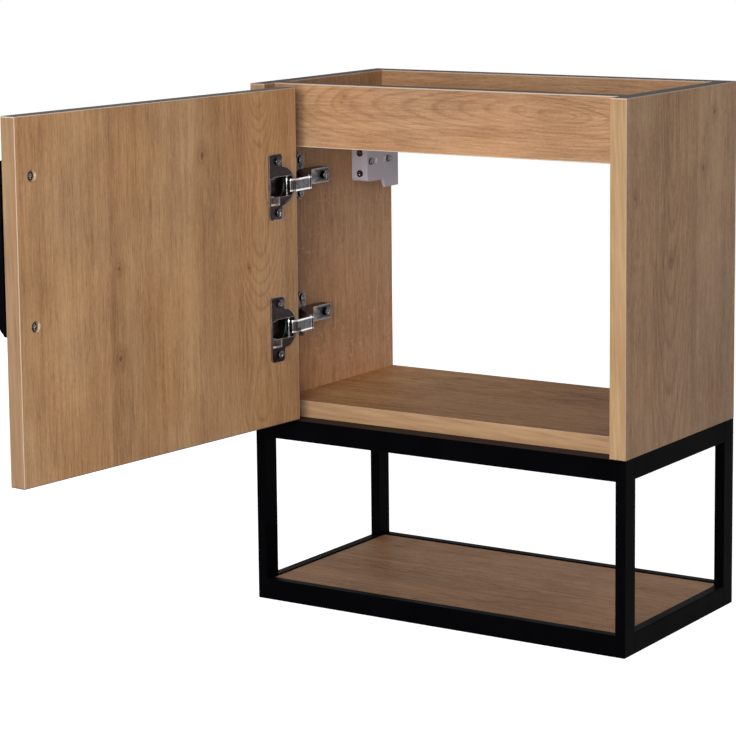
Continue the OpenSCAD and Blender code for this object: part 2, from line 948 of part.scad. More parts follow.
side_panel_left();
side_panel_right();
bottom_panel();
front_rail();
back_rail();
side_edging_left();
side_edging_right();
bottom_edging();
front_rail_edging();
dowels();
cam_bolts();
cam_locks();
door_panel();
door_edging();
handle();
handle_screws();
hinge_cup_upper();
hinge_cup_lower();
cup_screws();
cup_pins();
hinge_link_upper();
hinge_link_lower();
hinge_arm_upper();
hinge_arm_lower();
arm_pins();
arm_screws();
mounting_plate_upper();
mounting_plate_lower();
plate_screws();
hanger_body_left();
hanger_body_right();
hanger_hook_left();
hanger_hook_right();
hanger_fixing_screws();
hanger_adjusters();
post_front_left();
post_front_right();
post_rear_left();
post_rear_right();
lower_tube_front();
lower_tube_rear();
lower_tube_left();
lower_tube_right();
upper_tube_front();
upper_tube_rear();
upper_tube_left();
upper_tube_right();
frame_screws();
shelf_board();
shelf_edging();
shelf_tabs();
shelf_screws();
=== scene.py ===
"""Looks of a wall-hung vanity unit: an oak-decor cabinet with its door open, on a black tube frame.

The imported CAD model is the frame. Boards, tubes, hinges and hangers get softened edges and
procedural finishes, and the small moulded and pressed details that the CAD leaves out.
"""
import json
import math
from collections import namedtuple

import bmesh
import bpy
from mathutils import Matrix, Vector

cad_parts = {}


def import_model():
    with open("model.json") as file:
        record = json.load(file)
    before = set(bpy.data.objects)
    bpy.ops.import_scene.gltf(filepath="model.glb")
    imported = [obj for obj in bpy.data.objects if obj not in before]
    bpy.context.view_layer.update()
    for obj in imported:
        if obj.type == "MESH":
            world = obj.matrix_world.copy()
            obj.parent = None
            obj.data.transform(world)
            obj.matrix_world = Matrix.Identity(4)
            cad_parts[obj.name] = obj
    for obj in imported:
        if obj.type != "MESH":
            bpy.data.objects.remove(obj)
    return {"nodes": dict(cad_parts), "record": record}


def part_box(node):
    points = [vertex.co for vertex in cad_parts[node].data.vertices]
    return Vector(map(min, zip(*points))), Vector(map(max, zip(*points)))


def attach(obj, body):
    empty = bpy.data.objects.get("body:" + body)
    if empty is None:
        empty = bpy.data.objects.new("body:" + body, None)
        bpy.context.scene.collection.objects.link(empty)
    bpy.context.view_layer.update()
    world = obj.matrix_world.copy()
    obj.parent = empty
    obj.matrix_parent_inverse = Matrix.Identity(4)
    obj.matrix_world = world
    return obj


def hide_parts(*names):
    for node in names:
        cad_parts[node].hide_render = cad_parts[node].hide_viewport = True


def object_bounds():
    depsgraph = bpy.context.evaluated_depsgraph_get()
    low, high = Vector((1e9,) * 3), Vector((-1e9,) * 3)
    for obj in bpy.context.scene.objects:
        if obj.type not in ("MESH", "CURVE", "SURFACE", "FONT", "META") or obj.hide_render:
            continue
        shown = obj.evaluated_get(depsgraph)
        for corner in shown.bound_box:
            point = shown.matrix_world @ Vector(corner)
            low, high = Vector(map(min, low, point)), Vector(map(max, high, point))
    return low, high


MM = 0.001
X, Y, Z = Vector((1, 0, 0)), Vector((0, 1, 0)), Vector((0, 0, 1))
WHITE = (1.0, 1.0, 1.0)

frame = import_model()
cad_low, cad_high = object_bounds()
nodes = frame["nodes"]
bodies = frame["record"]["behaviour"]["bodies"]
body_of_node = {node: body for body, names in bodies.items() for node in names}


# Places in the CAD model


def door_axes():
    """The door's inner face at rest: its direction away from the hinges, and its outward normal."""
    out = max(nodes["door_panel"].data.polygons, key=lambda face: face.area).normal.copy()
    if out.x < 0:
        out.negate()
    return out.cross(Z), out


def door_corner():
    """The lowest corner of the door's inner face, at its hinge edge."""
    points = [v.co for v in nodes["door_edging"].data.vertices]
    return (
        ALONG_DOOR * min(p.dot(ALONG_DOOR) for p in points)
        + OUT_OF_DOOR * max(p.dot(OUT_OF_DOOR) for p in points)
        + Z * min(p.z for p in points)
    )


ALONG_DOOR, OUT_OF_DOOR = door_axes()
DOOR_TURN = Matrix((ALONG_DOOR, OUT_OF_DOOR, Z)).transposed().to_4x4()
DOOR_SPACE = Matrix.Translation(door_corner()) @ DOOR_TURN
DOOR_FROM = ALONG_DOOR.dot(DOOR_SPACE.translation)
DOOR_LOW, DOOR_TOP = (corner[2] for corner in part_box("door_edging"))
PANEL_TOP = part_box("side_panel_left")[1][2]
FLOOR_Z = cad_low[2]


def extent(node, space=Matrix.Identity(4)):
    """Lowest and highest corner of a node in the given axes."""
    inverse = space.inverted()
    points = [inverse @ v.co for v in nodes[node].data.vertices]
    return tuple(Vector(pick(p[i] for p in points) for i in range(3)) for pick in (min, max))


# Shader graphs


def with_alpha(value):
    """A plain colour as the sockets take it. Sockets and numbers stay as they are."""
    return (*value, 1) if isinstance(value, tuple) else value


class Graph:
    """The node tree of a material or a world, with short calls for its nodes."""

    def __init__(self, owner):
        owner.use_nodes = True
        self.tree = owner.node_tree
        self.tree.nodes.clear()

    def add(self, kind, **settings):
        node = self.tree.nodes.new(kind)
        for key, value in settings.items():
            setattr(node, key, value)
        return node

    def link(self, source, target):
        self.tree.links.new(source, target)

    def put(self, target, value):
        """Links a socket, or writes a plain number, vector or colour."""
        if isinstance(value, bpy.types.NodeSocket):
            self.link(value, target)
        else:
            target.default_value = value

    def coordinates(self, kind):
        return self.add("ShaderNodeTexCoord").outputs[kind]

    def place(self):
        return self.coordinates("Object")

    def normal(self):
        """The object's own normal, so that a finish turns with its part."""
        return self.coordinates("Normal")

    def math(self, operation, a, b=0.0):
        node = self.add("ShaderNodeMath", operation=operation)
        self.put(node.inputs[0], a)
        self.put(node.inputs[1], b)
        return node.outputs[0]

    def minus(self, a, b):
        return self.math("SUBTRACT", a, b)

    def distance(self, a, b):
        return self.math("ABSOLUTE", self.minus(a, b))

    def total(self, *values):
        result = values[0]
        for value in values[1:]:
            result = self.math("ADD", result, value)
        return result

    def product(self, *values):
        result = values[0]
        for value in values[1:]:
            result = self.math("MULTIPLY", result, value)
        return result

    def vector_math(self, operation, a, b):
        node = self.add("ShaderNodeVectorMath", operation=operation)
        self.put(node.inputs[0], a)
        self.put(node.inputs[1], b)
        return node.outputs

    def dot(self, a, b):
        return self.vector_math("DOT_PRODUCT", a, b)["Value"]

    def scaled(self, vector, scale):
        return self.vector_math("MULTIPLY", vector, scale)["Vector"]

    def vector(self, x, y, z):
        node = self.add("ShaderNodeCombineXYZ")
        for socket, value in zip(node.inputs, (x, y, z)):
            self.put(socket, value)
        return node.outputs[0]

    def noise(self, vector, scale=1.0, detail=2.0, roughness=0.5):
        node = self.add("ShaderNodeTexNoise")
        self.put(node.inputs["Vector"], vector)
        node.inputs["Scale"].default_value = scale
        node.inputs["Detail"].default_value = detail
        node.inputs["Roughness"].default_value = roughness
        return node.outputs["Fac"]

    def ramp(self, value, *stops):
        """Stops are (position, grey level or colour)."""
        node = self.add("ShaderNodeValToRGB")
        self.put(node.inputs[0], value)
        elements = node.color_ramp.elements
        while len(elements) < len(stops):
            elements.new(0.5)
        for element, (position, level) in zip(elements, stops):
            element.position = position
            element.color = with_alpha(level if isinstance(level, tuple) else (level,) * 3)
        return node.outputs["Color"]

    def mix(self, factor, a, b, blend="MIX"):
        node = self.add("ShaderNodeMix", data_type="RGBA", blend_type=blend)
        self.put(node.inputs[0], factor)
        for socket, value in ((node.inputs[6], a), (node.inputs[7], b)):
            self.put(socket, with_alpha(value))
        return node.outputs[2]

    def tinted(self, colour, tint):
        return self.mix(1.0, colour, tint, "MULTIPLY")

    def span(self, value, low, high, to_low=0.0, to_high=1.0):
        """A value that runs from low to high, brought to run from to_low to to_high."""
        node = self.add("ShaderNodeMapRange", clamp=True)
        for socket, number in zip(node.inputs, (value, low, high, to_low, to_high)):
            self.put(socket, number)
        return node.outputs[0]

    def edges(self, radius, soft=0.97, hard=0.80):
        """1 at sharp edges: there a rounded normal turns away from the true one."""
        node = self.add("ShaderNodeBevel", samples=6)
        node.inputs["Radius"].default_value = radius
        flat = self.add("ShaderNodeNewGeometry").outputs["True Normal"]
        return self.span(self.dot(node.outputs[0], flat), soft, hard)

    def shader(self, kind, colour, strength=None):
        node = self.add(kind)
        self.put(node.inputs["Color"], with_alpha(colour))
        if strength is not None:
            self.put(node.inputs["Strength"], strength)
        return node.outputs[0]


class Finish(Graph):
    """A material with one principled shader."""

    SOCKETS = {
        "colour": "Base Color",
        "roughness": "Roughness",
        "metallic": "Metallic",
        "specular": "Specular IOR Level",
    }

    def __init__(self, name):
        self.material = bpy.data.materials.new(name)
        super().__init__(self.material)
        self.bsdf = self.add("ShaderNodeBsdfPrincipled")
        self.link(self.bsdf.outputs[0], self.add("ShaderNodeOutputMaterial").inputs[0])

    def bump(self, height, strength, distance):
        node = self.add("ShaderNodeBump")
        self.put(node.inputs["Height"], height)
        node.inputs["Strength"].default_value = strength
        node.inputs["Distance"].default_value = distance
        self.link(node.outputs[0], self.bsdf.inputs["Normal"])

    def made(self, **values):
        """The material, with these values on its shader."""
        for key, value in values.items():
            self.put(self.bsdf.inputs[self.SOCKETS[key]], with_alpha(value))
        return self.material


# Levels between which a noise mostly lies: a fine one, and a slow one
FINE = (0.28, 0.72)
SLOW = (0.30, 0.70)


# Oak boards

OAK_LIGHT = (0.600, 0.372, 0.210)
OAK_MID = (0.470, 0.272, 0.145)
OAK_DARK = (0.285, 0.150, 0.075)
PORE = (0.150, 0.072, 0.033)
KNOT = (0.115, 0.056, 0.027)
RAY = (0.680, 0.470, 0.300)
WARM, COOL = (1.03, 0.99, 0.94), (0.97, 1.01, 1.07)
CHIP_LIGHT, CHIP_MID, CHIP_DARK = (0.66, 0.53, 0.38), (0.52, 0.38, 0.25), (0.30, 0.20, 0.12)
# The dark grey below is not a colour of the boards but painted light: a painted reflection of a dark
# ceiling on edges that face up, and a painted shadow along the door band's lowest strip. The pale line
# after it is painted just below those top edges.
PAINTED_EDGE_GREY = (0.120, 0.094, 0.086)
PALE_TOP_LINE = (0.640, 0.520, 0.430)
MIDDLE_TONE = 0.36

# Noises of the figure: the scales across and along the grain, per metre, and the noise's detail
# and roughness
Layer = namedtuple("Layer", "across along detail roughness")
WANDER = Layer(5.0, 4.0, 2.0, 0.45)
RIPPLE = Layer(60.0, 14.0, 2.0, 0.5)
FIBRE = Layer(640.0, 38.0, 3.0, 0.6)
DASH = Layer(820.0, 85.0, 2.0, 0.6)
LINE = Layer(300.0, 9.0, 3.0, 0.6)
GRAIN = Layer(900.0, 320.0, 2.0, 0.6)
STREAK = Layer(110.0, 5.0, 3.0, 0.65)
PATCH = Layer(16.0, 2.2, 3.0, 0.55)
CLOUD = Layer(19.0, 11.0, 3.0, 0.55)
WARMTH = Layer(9.0, 5.0, 2.0, 0.5)
RAGGED = (330.0, 330.0, 200.0)

# Where a board was cut from its tree: the heart line across the board, a place along it with the
# depth of the heart there, how fast that depth changes, its slow wave with the wave's length, the
# width of a ring, and how strong the lines are
Rings = namedtuple(
    "Rings", "heart middle depth slope wave period pitch strength",
    defaults=(0.0, 0.0, 0.030, 0.0, 0.0, 0.160, 0.0040, 0.30),
)
# How dark a ring is over its width: pale early wood first, then a band of dark late wood
RING_DARKNESS = ((0.0, 0.05), (0.10, 0.0), (0.58, 0.12), (0.78, 1.0), (0.88, 1.0), (1.0, 0.05))


def ring_lines(g, across_at, along_at, rings, wander, ripple):
    """Dark lines of late wood. They run straight far from the heart line and arch over it."""
    swing, drift, reach, far_strength = 0.030, 0.012, 0.045, 0.08
    from_heart = g.total(across_at, -rings.heart, g.product(g.minus(wander, 0.5), swing))
    from_middle = g.minus(along_at, rings.middle)
    turn = g.product(from_middle, math.tau / rings.period)
    depth = g.total(
        g.product(from_middle, rings.slope), g.product(g.math("COSINE", turn), rings.wave), rings.depth
    )
    square = g.product(from_heart, from_heart)
    radius = g.math("SQRT", g.total(square, g.product(depth, depth)))
    phase = g.total(
        g.math("DIVIDE", radius, rings.pitch),
        g.product(ripple, 0.6),
        g.product(wander, drift / rings.pitch),
    )
    line = g.ramp(g.math("FRACT", phase), *RING_DARKNESS)
    faint = g.span(g.total(ripple, wander), 0.85, 1.15, 0.55, 1.0)
    return g.product(line, faint, g.span(square, 0.0, reach * reach, rings.strength, far_strength))


def knot_marks(g, across_at, along_at, ragged, knots):
    """Knots as (across, along, radius): their dark spots, the darker wood round them, and how far
    they push the grain aside."""
    spot = glow = push = 0.0
    for knot_across, knot_along, size in knots:
        side = g.math("DIVIDE", g.minus(across_at, knot_across), size)
        run = g.math("DIVIDE", g.minus(along_at, knot_along), size * 1.4)
        near = g.total(g.product(side, side), g.product(run, run))
        rough_near = g.total(near, g.product(g.minus(ragged, 0.5), 3.0))
        core = g.span(rough_near, 0.0, 1.3, 0.75, 0.0)
        rim = g.span(g.distance(rough_near, 3.8), 0.2, 1.2, 0.16, 0.0)
        spot = g.math("MAXIMUM", spot, g.math("MAXIMUM", core, rim))
        glow = g.math("MAXIMUM", glow, g.span(near, 1.0, 26.0, 0.24, 0.0))
        push = g.total(push, g.product(side, g.span(near, 0.5, 22.0, -0.75 * size, 0.0)))
    return spot, glow, push


def tone_bands(g, across_at, wander, bands):
    """Darker or paler stripes along a board, as (place across, half width, change of tone)."""
    shade = 0.0
    swing = g.product(g.minus(wander, 0.5), 0.012)
    for place, half_width, change in bands:
        off = g.math("ABSOLUTE", g.total(across_at, -place, swing))
        shade = g.total(shade, g.span(off, half_width * 0.3, half_width, change, 0.0))
    return shade


def ray_flecks(g, grain_place):
    """Thin pale curls, as contour lines of a slow noise, gathered in patches."""
    hills = g.noise(g.scaled(grain_place, (44.0, 44.0, 70.0)), detail=2.0, roughness=0.6)
    contour = g.span(g.distance(hills, 0.56), 0.003, 0.012, 0.8, 0.0)
    patch = g.noise(g.scaled(grain_place, (17.0, 17.0, 24.0)), detail=1.0)
    return g.product(contour, g.span(patch, 0.46, 0.56))


def chipboard(g, place):
    flakes = g.noise(place, scale=750.0, detail=3.0, roughness=0.7)
    return g.ramp(flakes, (0.30, CHIP_LIGHT), (0.52, CHIP_MID), (0.72, CHIP_DARK))


def painted_edge_reflection(g, place, colour, top, sheen):
    """A painted reflection of a dark ceiling: the dull dark strip on the edges that face up at the given
    height, with a pale line painted below it. Gives the colour and the specular level."""
    height = g.dot(place, Z)
    facing = g.span(g.dot(g.normal(), Z), 0.6, 0.9)
    reflection_strip = g.product(g.span(height, top - 0.45 * MM, top - 0.30 * MM), facing)
    colour = g.mix(g.span(height, top - 1.35 * MM, top - 1.05 * MM, 0.0, 0.75), colour, PALE_TOP_LINE)
    return g.mix(reflection_strip, colour, PAINTED_EDGE_GREY), g.span(reflection_strip, 0.0, 1.0, sheen, 0.02)


def oak(
    name, across, along, rings, tint=WHITE, far_shading_tint=None, shading_ends=(0, 1), knots=(), bands=(), flecks=0.0,
    painted_reflection_top=None, sheen=0.28, fine=1.0, seed=0.0,
):
    """Oak decor on a board: arched rings, fibres, pores, knots and pale flecks. Raw edges show the
    chipboard core. The tone may drift from one tint to a far one between two places along the board:
    painted light and shade, not a change in the wood. Edges that face up at a given height may get a
    painted reflection of a dark ceiling. fine makes the figure narrower or, below 1, wider."""
    g = Finish(name)
    place = g.place()
    through = across.cross(along)
    depth = g.math("ADD", g.dot(place, through), seed)
    across_at, along_at = g.dot(place, across), g.dot(place, along)
    ragged = g.noise(g.scaled(g.vector(across_at, depth, along_at), RAGGED))
    spot, glow, push = knot_marks(g, across_at, along_at, ragged, knots)
    across_at = g.total(across_at, push)
    grain_place = g.vector(across_at, depth, along_at)

    def noise(layer):
        scale = (layer.across * fine, layer.across * fine, layer.along)
        return g.noise(g.scaled(grain_place, scale), detail=layer.detail, roughness=layer.roughness)

    wander, fibre, streak = noise(WANDER), noise(FIBRE), noise(STREAK)
    pores = g.product(g.span(noise(DASH), 0.52, 0.68), g.span(streak, 0.38, 0.62, 0.35, 1.0))
    tone = g.total(
        MIDDLE_TONE,
        ring_lines(g, across_at, along_at, rings, wander, noise(RIPPLE)),
        g.span(fibre, *FINE, -0.21, 0.22),
        g.span(noise(LINE), *FINE, -0.16, 0.16),
        g.span(noise(GRAIN), *FINE, -0.13, 0.13),
        g.span(streak, *FINE, -0.13, 0.13),
        g.span(noise(PATCH), *SLOW, -0.20, 0.21),
        g.span(noise(CLOUD), *SLOW, -0.17, 0.18),
        tone_bands(g, across_at, wander, bands),
    )
    colour = g.ramp(g.total(tone, glow), (0.0, OAK_LIGHT), (0.42, OAK_MID), (1.0, OAK_DARK))
    colour = g.mix(g.product(pores, 0.34), colour, PORE)
    if flecks:
        colour = g.mix(g.product(ray_flecks(g, grain_place), flecks), colour, RAY)
    colour = g.mix(spot, colour, KNOT)
    colour = g.tinted(colour, g.mix(g.span(noise(WARMTH), 0.35, 0.65), WARM, COOL))
    # Painted light and shade: the tint drifts along the board between its two given places.
    colour = g.tinted(colour, g.mix(g.span(along_at, *shading_ends), tint, far_shading_tint) if far_shading_tint else tint)
    raw = g.span(g.math("ABSOLUTE", g.dot(g.normal(), through)), 0.75, 0.45)
    colour = g.mix(raw, colour, chipboard(g, place))
    specular = sheen
    # Edges that face up at the given top height get a painted reflection of a dark ceiling.
    if painted_reflection_top is not None:
        colour, specular = painted_edge_reflection(g, place, colour, painted_reflection_top, sheen)
    rough = g.math("ADD", g.span(pores, 0.0, 1.0, 0.50, 0.66), g.product(fibre, 0.06))
    g.bump(g.minus(g.product(fibre, 0.25), pores), 0.35, 0.12 * MM)
    return g.made(colour=colour, roughness=rough, specular=specular)


# Edge bands

BAND_LIGHT, BAND_MID, BAND_DARK = (0.60, 0.395, 0.225), (0.48, 0.295, 0.160), (0.34, 0.190, 0.098)
BAND_CORE_AND_HIGHLIGHT = (0.700, 0.540, 0.420)


def edge_band(name, along, thin, tint=WHITE, painted_reflection_top=None, painted_shadow_under=None):
    """The glued plastic band: a plainer oak print, with its pale core showing on its thin sides, painted
    pale enough to stand in also for a highlight on its rounded edge.
    """
    g = Finish(name)
    place = g.place()
    run = g.dot(place, along)
    runs = g.vector(run, run, run)
    beside = g.vector_math("SUBTRACT", place, g.scaled(runs, tuple(along)))["Vector"]
    fine_beside = g.scaled(beside, (330.0, 330.0, 330.0))
    print_place = g.vector_math("ADD", fine_beside, g.scaled(runs, (14.0, 12.0, 10.0)))["Vector"]
    fibre = g.noise(print_place, detail=4.0, roughness=0.65)
    patch = g.noise(g.scaled(place, (14.0, 14.0, 14.0)))
    tone = g.math("ADD", g.span(fibre, *SLOW, 0.0, 0.65), g.span(patch, *SLOW, 0.0, 0.25))
    colour = g.tinted(g.ramp(tone, (0.0, BAND_LIGHT), (0.5, BAND_MID), (1.0, BAND_DARK)), tint)
    # The band's real core, painted pale also as a painted highlight on the rounded edge.
    core = g.span(g.math("ABSOLUTE", g.dot(g.normal(), thin)), 0.55, 0.85)
    colour = g.mix(core, colour, BAND_CORE_AND_HIGHLIGHT)
    specular = 0.32
    # Edges that face up at the given top height get a painted reflection of a dark ceiling.
    if painted_reflection_top is not None:
        colour, specular = painted_edge_reflection(g, place, colour, painted_reflection_top, specular)
    # Painted shadow: the band's lowest strip, at the given bottom height, is painted dark grey.
    if painted_shadow_under is not None:
        low = g.span(g.dot(place, Z), painted_shadow_under + 1.10 * MM, painted_shadow_under + 0.80 * MM)
        colour = g.mix(low, colour, PAINTED_EDGE_GREY)
    g.bump(fibre, 0.2, 0.08 * MM)
    return g.made(colour=colour, roughness=0.46, specular=specular)


# Metals, plastic and beech

POWDER_DEEP, POWDER_PALE = (0.0008, 0.0007, 0.0011), (0.0016, 0.0014, 0.0021)
POWDER_EDGE = (0.0075, 0.0075, 0.0095)
PLASTIC_EDGE = (0.72, 0.68, 0.72)
BEECH_LIGHT, BEECH_DARK = (0.72, 0.53, 0.34), (0.52, 0.34, 0.19)
DRAWN = (900.0, 900.0, 72.0)


def worn_metal(name, plating, worn, rim, roughness, glint_width=0.35 * MM, scratch=0.10, strap=None):
    """Plated pressed steel: mottled plating, faint drawing lines and bright rims, which are painted
    glints. A strap is given as its lowest and highest height, and has its upper and lower rim painted
    bright as highlights."""
    g = Finish(name)
    place = g.place()
    cloud = g.noise(place, scale=420.0, detail=4.0, roughness=0.65)
    lines = g.noise(g.scaled(place, DRAWN), detail=3.0, roughness=0.6)
    tint = g.mix(g.span(cloud, 0.34, 0.66), plating, worn)
    # Painted glints: sharp edges take the bright rim colour.
    painted_glint = g.product(g.edges(glint_width, 0.99, 0.90), g.span(cloud, 0.30, 0.60, 1.0, 0.6))
    tint = g.mix(painted_glint, tint, rim)
    # Painted highlights along the strap's upper and lower rims.
    if strap:
        low, high = strap
        half = (high - low) / 2
        off = g.distance(g.dot(place, Z), (low + high) / 2)
        tint = g.mix(g.span(off, half - 1.9 * MM, half - 1.2 * MM, 0.0, 0.9), tint, rim)
    mottled = g.span(cloud, *SLOW, roughness * 0.8, roughness * 1.3)
    rough = g.math("ADD", mottled, g.product(lines, scratch))
    g.bump(g.math("ADD", cloud, g.product(lines, 0.4)), 0.12, 0.06 * MM)
    return g.made(colour=tint, roughness=rough, metallic=1.0)


def powder_black(name, top):
    """Black powder coat: a fine orange-peel skin, paler at the edges as a painted highlight and paler on
    top as a painted reflection.
    """
    g = Finish(name)
    place = g.place()
    peel = g.noise(place, scale=1900.0)
    cloud = g.noise(place, scale=24.0, detail=3.0, roughness=0.55)
    tint = g.mix(g.span(cloud, *SLOW), POWDER_DEEP, POWDER_PALE)
    # Painted highlight along the edges.
    tint = g.mix(g.product(g.edges(0.9 * MM), 0.8), tint, POWDER_EDGE)
    # Painted reflection on faces that face up.
    tint = g.mix(g.span(g.dot(g.normal(), Z), 0.8, 0.95), tint, top)
    g.bump(peel, 0.18, 0.05 * MM)
    return g.made(colour=tint, roughness=g.span(cloud, *SLOW, 0.42, 0.55), specular=0.008)


def moulded_plastic(name, colour, pale):
    """Satin moulded plastic with a fine spark-eroded texture and slightly paler rims."""
    g = Finish(name)
    place = g.place()
    spark = g.noise(place, scale=2600.0, detail=3.0, roughness=0.6)
    cloud = g.noise(place, scale=45.0, detail=3.0)
    tint = g.mix(g.span(cloud, *SLOW), colour, pale)
    tint = g.mix(g.product(g.edges(0.6 * MM), 0.5), tint, PLASTIC_EDGE)
    g.bump(spark, 0.10, 0.05 * MM)
    return g.made(colour=tint, roughness=g.span(spark, *SLOW, 0.40, 0.52), specular=0.4)


def beech(name):
    g = Finish(name)
    fleck = g.noise(g.scaled(g.place(), (60.0, 900.0, 900.0)), detail=3.0, roughness=0.6)
    g.bump(fleck, 0.3, 0.1 * MM)
    colour = g.ramp(fleck, (0.3, BEECH_LIGHT), (0.7, BEECH_DARK))
    return g.made(colour=colour, roughness=0.7, specular=0.3)


# Meshes

# A face with more area than this times its outline is a broad one
BROAD = 2.5 * MM
WELD = 0.001 * MM
ON_SIDE = 0.002 * MM
SHARP = math.radians(40)
BOARD_SMOOTH, FITTING_SMOOTH = math.radians(35), math.radians(40)
BOARD_RADIUS, BAND_RADIUS, TUBE_RADIUS = 0.35 * MM, 0.5 * MM, 0.9 * MM


def free_copy(node):
    """A joined-up copy of a CAD node's mesh, to be worked on."""
    bm = bmesh.new()
    bm.from_mesh(nodes[node].data)
    bmesh.ops.remove_doubles(bm, verts=bm.verts, dist=WELD)
    bmesh.ops.dissolve_limit(bm, angle_limit=math.radians(0.3), verts=bm.verts, edges=bm.edges)
    return bm


def block(low, high, radius=0.0, space=Matrix.Identity(4), shear=0.0):
    """A small block with rounded edges. shear leans it along its first axis as its third one rises."""
    low, high = Vector(low), Vector(high)
    lean = Matrix.Identity(4)
    lean[0][2] = shear
    bm = bmesh.new()
    place = space @ Matrix.Translation((low + high) / 2) @ lean @ Matrix.Diagonal((*(high - low), 1))
    bmesh.ops.create_cube(bm, size=1, matrix=place)
    if radius:
        bmesh.ops.bevel(bm, geom=bm.edges[:], offset=radius, segments=2, profile=0.5, affect="EDGES")
    return bm


def joined(parts):
    """One bmesh from several."""
    whole = bmesh.new()
    for part in parts:
        mesh = bpy.data.meshes.new("part")
        part.to_mesh(mesh)
        part.free()
        whole.from_mesh(mesh)
        bpy.data.meshes.remove(mesh)
    return whole


def carve(bm, cutter):
    """The closed mesh bm with the closed mesh cutter taken away."""
    objects = []
    for part in (bm, cutter):
        mesh = bpy.data.meshes.new("carving")
        part.to_mesh(mesh)
        part.free()
        obj = bpy.data.objects.new("carving", mesh)
        bpy.context.scene.collection.objects.link(obj)
        objects.append(obj)
    solid, tool = objects
    cut = solid.modifiers.new("cut", "BOOLEAN")
    cut.operation, cut.solver, cut.object = "DIFFERENCE", "EXACT", tool
    result = bmesh.new()
    result.from_object(solid, bpy.context.evaluated_depsgraph_get())
    for obj in objects:
        bpy.data.meshes.remove(obj.data)
    return result


def piece(name, bm, body, material, smooth_angle=BOARD_SMOOTH):
    """An object from a bmesh, riding on a body. Small and narrow faces are shaded smooth up to an
    angle. Broad ones stay flat, so that their rounded edges cast no gradient over them."""
    mesh = bpy.data.meshes.new(name)
    bm.normal_update()
    smooth = [face.calc_area() < BROAD * face.calc_perimeter() for face in bm.faces]
    bm.to_mesh(mesh)
    bm.free()
    mesh.materials.append(material)
    obj = bpy.data.objects.new(name, mesh)
    bpy.context.scene.collection.objects.link(obj)
    mesh.set_sharp_from_angle(angle=smooth_angle)
    mesh.polygons.foreach_set("use_smooth", smooth)
    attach(obj, body)
    return obj


def stand_for(node, bm, material, smooth_angle=BOARD_SMOOTH):
    obj = piece(node + "_finished", bm, body_of_node[node], material, smooth_angle)
    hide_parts(node)
    return obj


def round_outer_edges(bm, radius, plain_sides=(), space=Matrix.Identity(4)):
    """Rounds the long outer edges of a boxy mesh, except those on the named sides, such as "-y"."""
    inverse = space.inverted()
    local = {v: inverse @ v.co for v in bm.verts}
    low = [min(p[i] for p in local.values()) for i in range(3)]
    high = [max(p[i] for p in local.values()) for i in range(3)]
    chosen = []
    for edge in bm.edges:
        sides = []
        for i, axis in enumerate("xyz"):
            for sign, limit in (("-", low[i]), ("+", high[i])):
                if all(abs(local[v][i] - limit) < ON_SIDE for v in edge.verts):
                    sides.append(sign + axis)
        if len(sides) >= 2 and not set(sides) & set(plain_sides):
            chosen.append(edge)
    bmesh.ops.bevel(
        bm, geom=chosen, offset=radius, segments=3, profile=0.5, affect="EDGES", clamp_overlap=False
    )


def soft_board(node, material, radius=BOARD_RADIUS, plain_sides=(), space=Matrix.Identity(4)):
    bm = free_copy(node)
    round_outer_edges(bm, radius, plain_sides, space)
    return stand_for(node, bm, material)


def soften(bm, radius, segments=2):
    """Gives sharp edges a small radius, held back where there is no room."""
    sharp = [e for e in bm.edges if len(e.link_faces) == 2 and e.calc_face_angle(0) > SHARP]
    bmesh.ops.bevel(
        bm, geom=sharp, offset=radius, segments=segments, profile=0.5, affect="EDGES", clamp_overlap=True
    )
    return bm


def soft_fitting(node, material, radius, segments=2):
    return stand_for(node, soften(free_copy(node), radius, segments), material, FITTING_SMOOTH)


def repaint(node, material):
    obj = nodes[node]
    obj.data.materials.clear()
    obj.data.materials.append(material)


# Finishes that several sub-parts share

# Its paler top is a painted reflection on faces that face up.
black_coat = powder_black("black_powder_coat", top=(0.0030, 0.0028, 0.0034))
level_band = edge_band("band_level", along=X, thin=Z, tint=(0.82, 0.80, 0.78))
nickel = worn_metal(
    "dark_nickel", plating=(0.050, 0.039, 0.039), worn=(0.030, 0.023, 0.023), rim=(0.78, 0.72, 0.71),
    roughness=0.27, glint_width=0.75 * MM,
)
zinc = worn_metal(
    "zinc_plate", plating=(0.30, 0.29, 0.29), worn=(0.15, 0.145, 0.145), rim=(0.6, 0.6, 0.6),
    roughness=0.22, scratch=0.08,
)


# Cabinet boards


